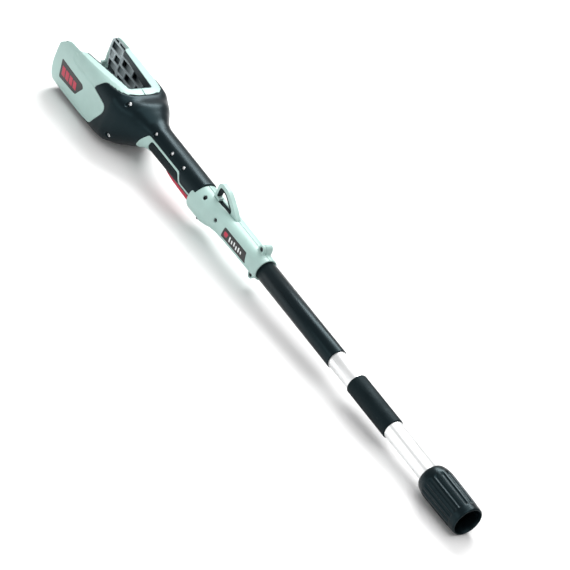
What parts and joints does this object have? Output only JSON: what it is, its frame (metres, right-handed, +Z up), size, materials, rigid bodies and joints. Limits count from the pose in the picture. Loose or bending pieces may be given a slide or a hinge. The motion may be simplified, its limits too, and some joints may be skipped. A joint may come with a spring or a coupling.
{
  "type": "telescoping pole saw power head",
  "caption": "Cordless power head with a trigger grip, open battery bay and a telescoping pole ending in a fluted coupling nut for a pole saw tool.",
  "frame": {"origin": "centre of the coupling's mouth, on the pole's axis", "axes": "+X out of the mouth along the pole, +Z up towards the strap eye's side, +Y to the user's left"},
  "size_m": [1.147, 0.115, 0.114],
  "materials": {
    "light_shell": "satin moulded",
    "black_shell": "satin moulded",
    "soft_grip": "soft-touch",
    "bay_black": "moulded ribs",
    "red_plastic": "moulded",
    "badge_print": "printed plate",
    "label_print": "printed label",
    "screw_steel": "zinc plated",
    "pole_black": "black coated",
    "pole_bright": "drawn tube",
    "grip_black": "grip sleeve",
    "nut_black": "moulded, fluted",
    "hub_black": "moulded",
    "seal_rubber": "smooth",
    "spring_steel": "wire",
    "contact_brass": "plated",
    "board_green": "circuit board",
    "part_grey": "moulded",
    "lead_black": "cable sheath"
  },
  "bodies": {
    "handle": {"housing_right": "black_shell", "housing_left": "black_shell", "cheek_right": "light_shell", "cheek_left": "light_shell", "bay_liner_right": "bay_black", "bay_liner_left": "bay_black", "bay_floor": "bay_black", "terminal_block": "bay_black", "terminal_blades": "contact_brass", "badge_right": "badge_print", "badge_left": "badge_print", "grip_trim": "light_shell", "grip_insert": "soft_grip", "collar_right": "light_shell", "collar_left": "light_shell", "strap_eye": "light_shell", "side_label": "label_print", "housing_screws": "screw_steel", "neck_screws": "screw_steel", "collar_screws": "screw_steel", "clamp_screws": "screw_steel", "clamp_nuts": "screw_steel", "outer_tube": "pole_black", "end_bush": "hub_black", "control_board": "board_green", "board_parts": "part_grey", "switch_body": "hub_black", "trigger_pin": "spring_steel", "wiring_loom": "lead_black", "trigger_spring": "spring_steel", "lock_spring": "spring_steel", "plunger_spring": "spring_steel"},
    "trigger": {"trigger": "red_plastic"},
    "plunger": {"switch_plunger": "part_grey"},
    "lock": {"lock_button": "red_plastic"},
    "pole": {"inner_tube": "pole_bright", "slide_bush": "hub_black", "front_grip": "grip_black", "coupling_hub": "hub_black", "hub_screws": "screw_steel", "nut_retainer": "spring_steel", "o_ring": "seal_rubber", "connector_core": "hub_black", "contact_pins": "contact_brass", "coil_lead": "lead_black"},
    "nut": {"coupling_nut": "nut_black"}
  },
  "joints": [
    {"name": "trigger_pull", "type": "hinge", "parent": "handle", "child": "trigger", "pos_m": [-0.854, 0, -0.017], "axis": [0, -1, 0], "range_deg": [0, 5], "stiffness_Nm_per_rad": 1.5, "springref_deg": -6.88, "deforming": ["trigger_spring"]},
    {"name": "plunger_press", "type": "slide", "parent": "handle", "child": "plunger", "axis": [0, 0, 1], "range_m": [0, 0.0032], "deforming": ["plunger_spring"]},
    {"name": "lock_press", "type": "slide", "parent": "handle", "child": "lock", "axis": [0, -1, 0], "range_m": [0, 0.003], "stiffness_N_per_m": 400, "springref_m": -0.003, "deforming": ["lock_spring"]},
    {"name": "pole_extend", "type": "slide", "parent": "handle", "child": "pole", "axis": [1, 0, 0], "range_m": [-0.045, 0.2], "deforming": ["coil_lead"]},
    {"name": "nut_turn", "type": "hinge", "parent": "pole", "child": "nut", "pos_m": [-0.05, 0, 0], "axis": [1, 0, 0], "continuous": true}
  ],
  "couplings": [
    {"joint": "plunger_press", "follows": "trigger_pull", "m_per_rad": 0.035}
  ]
}
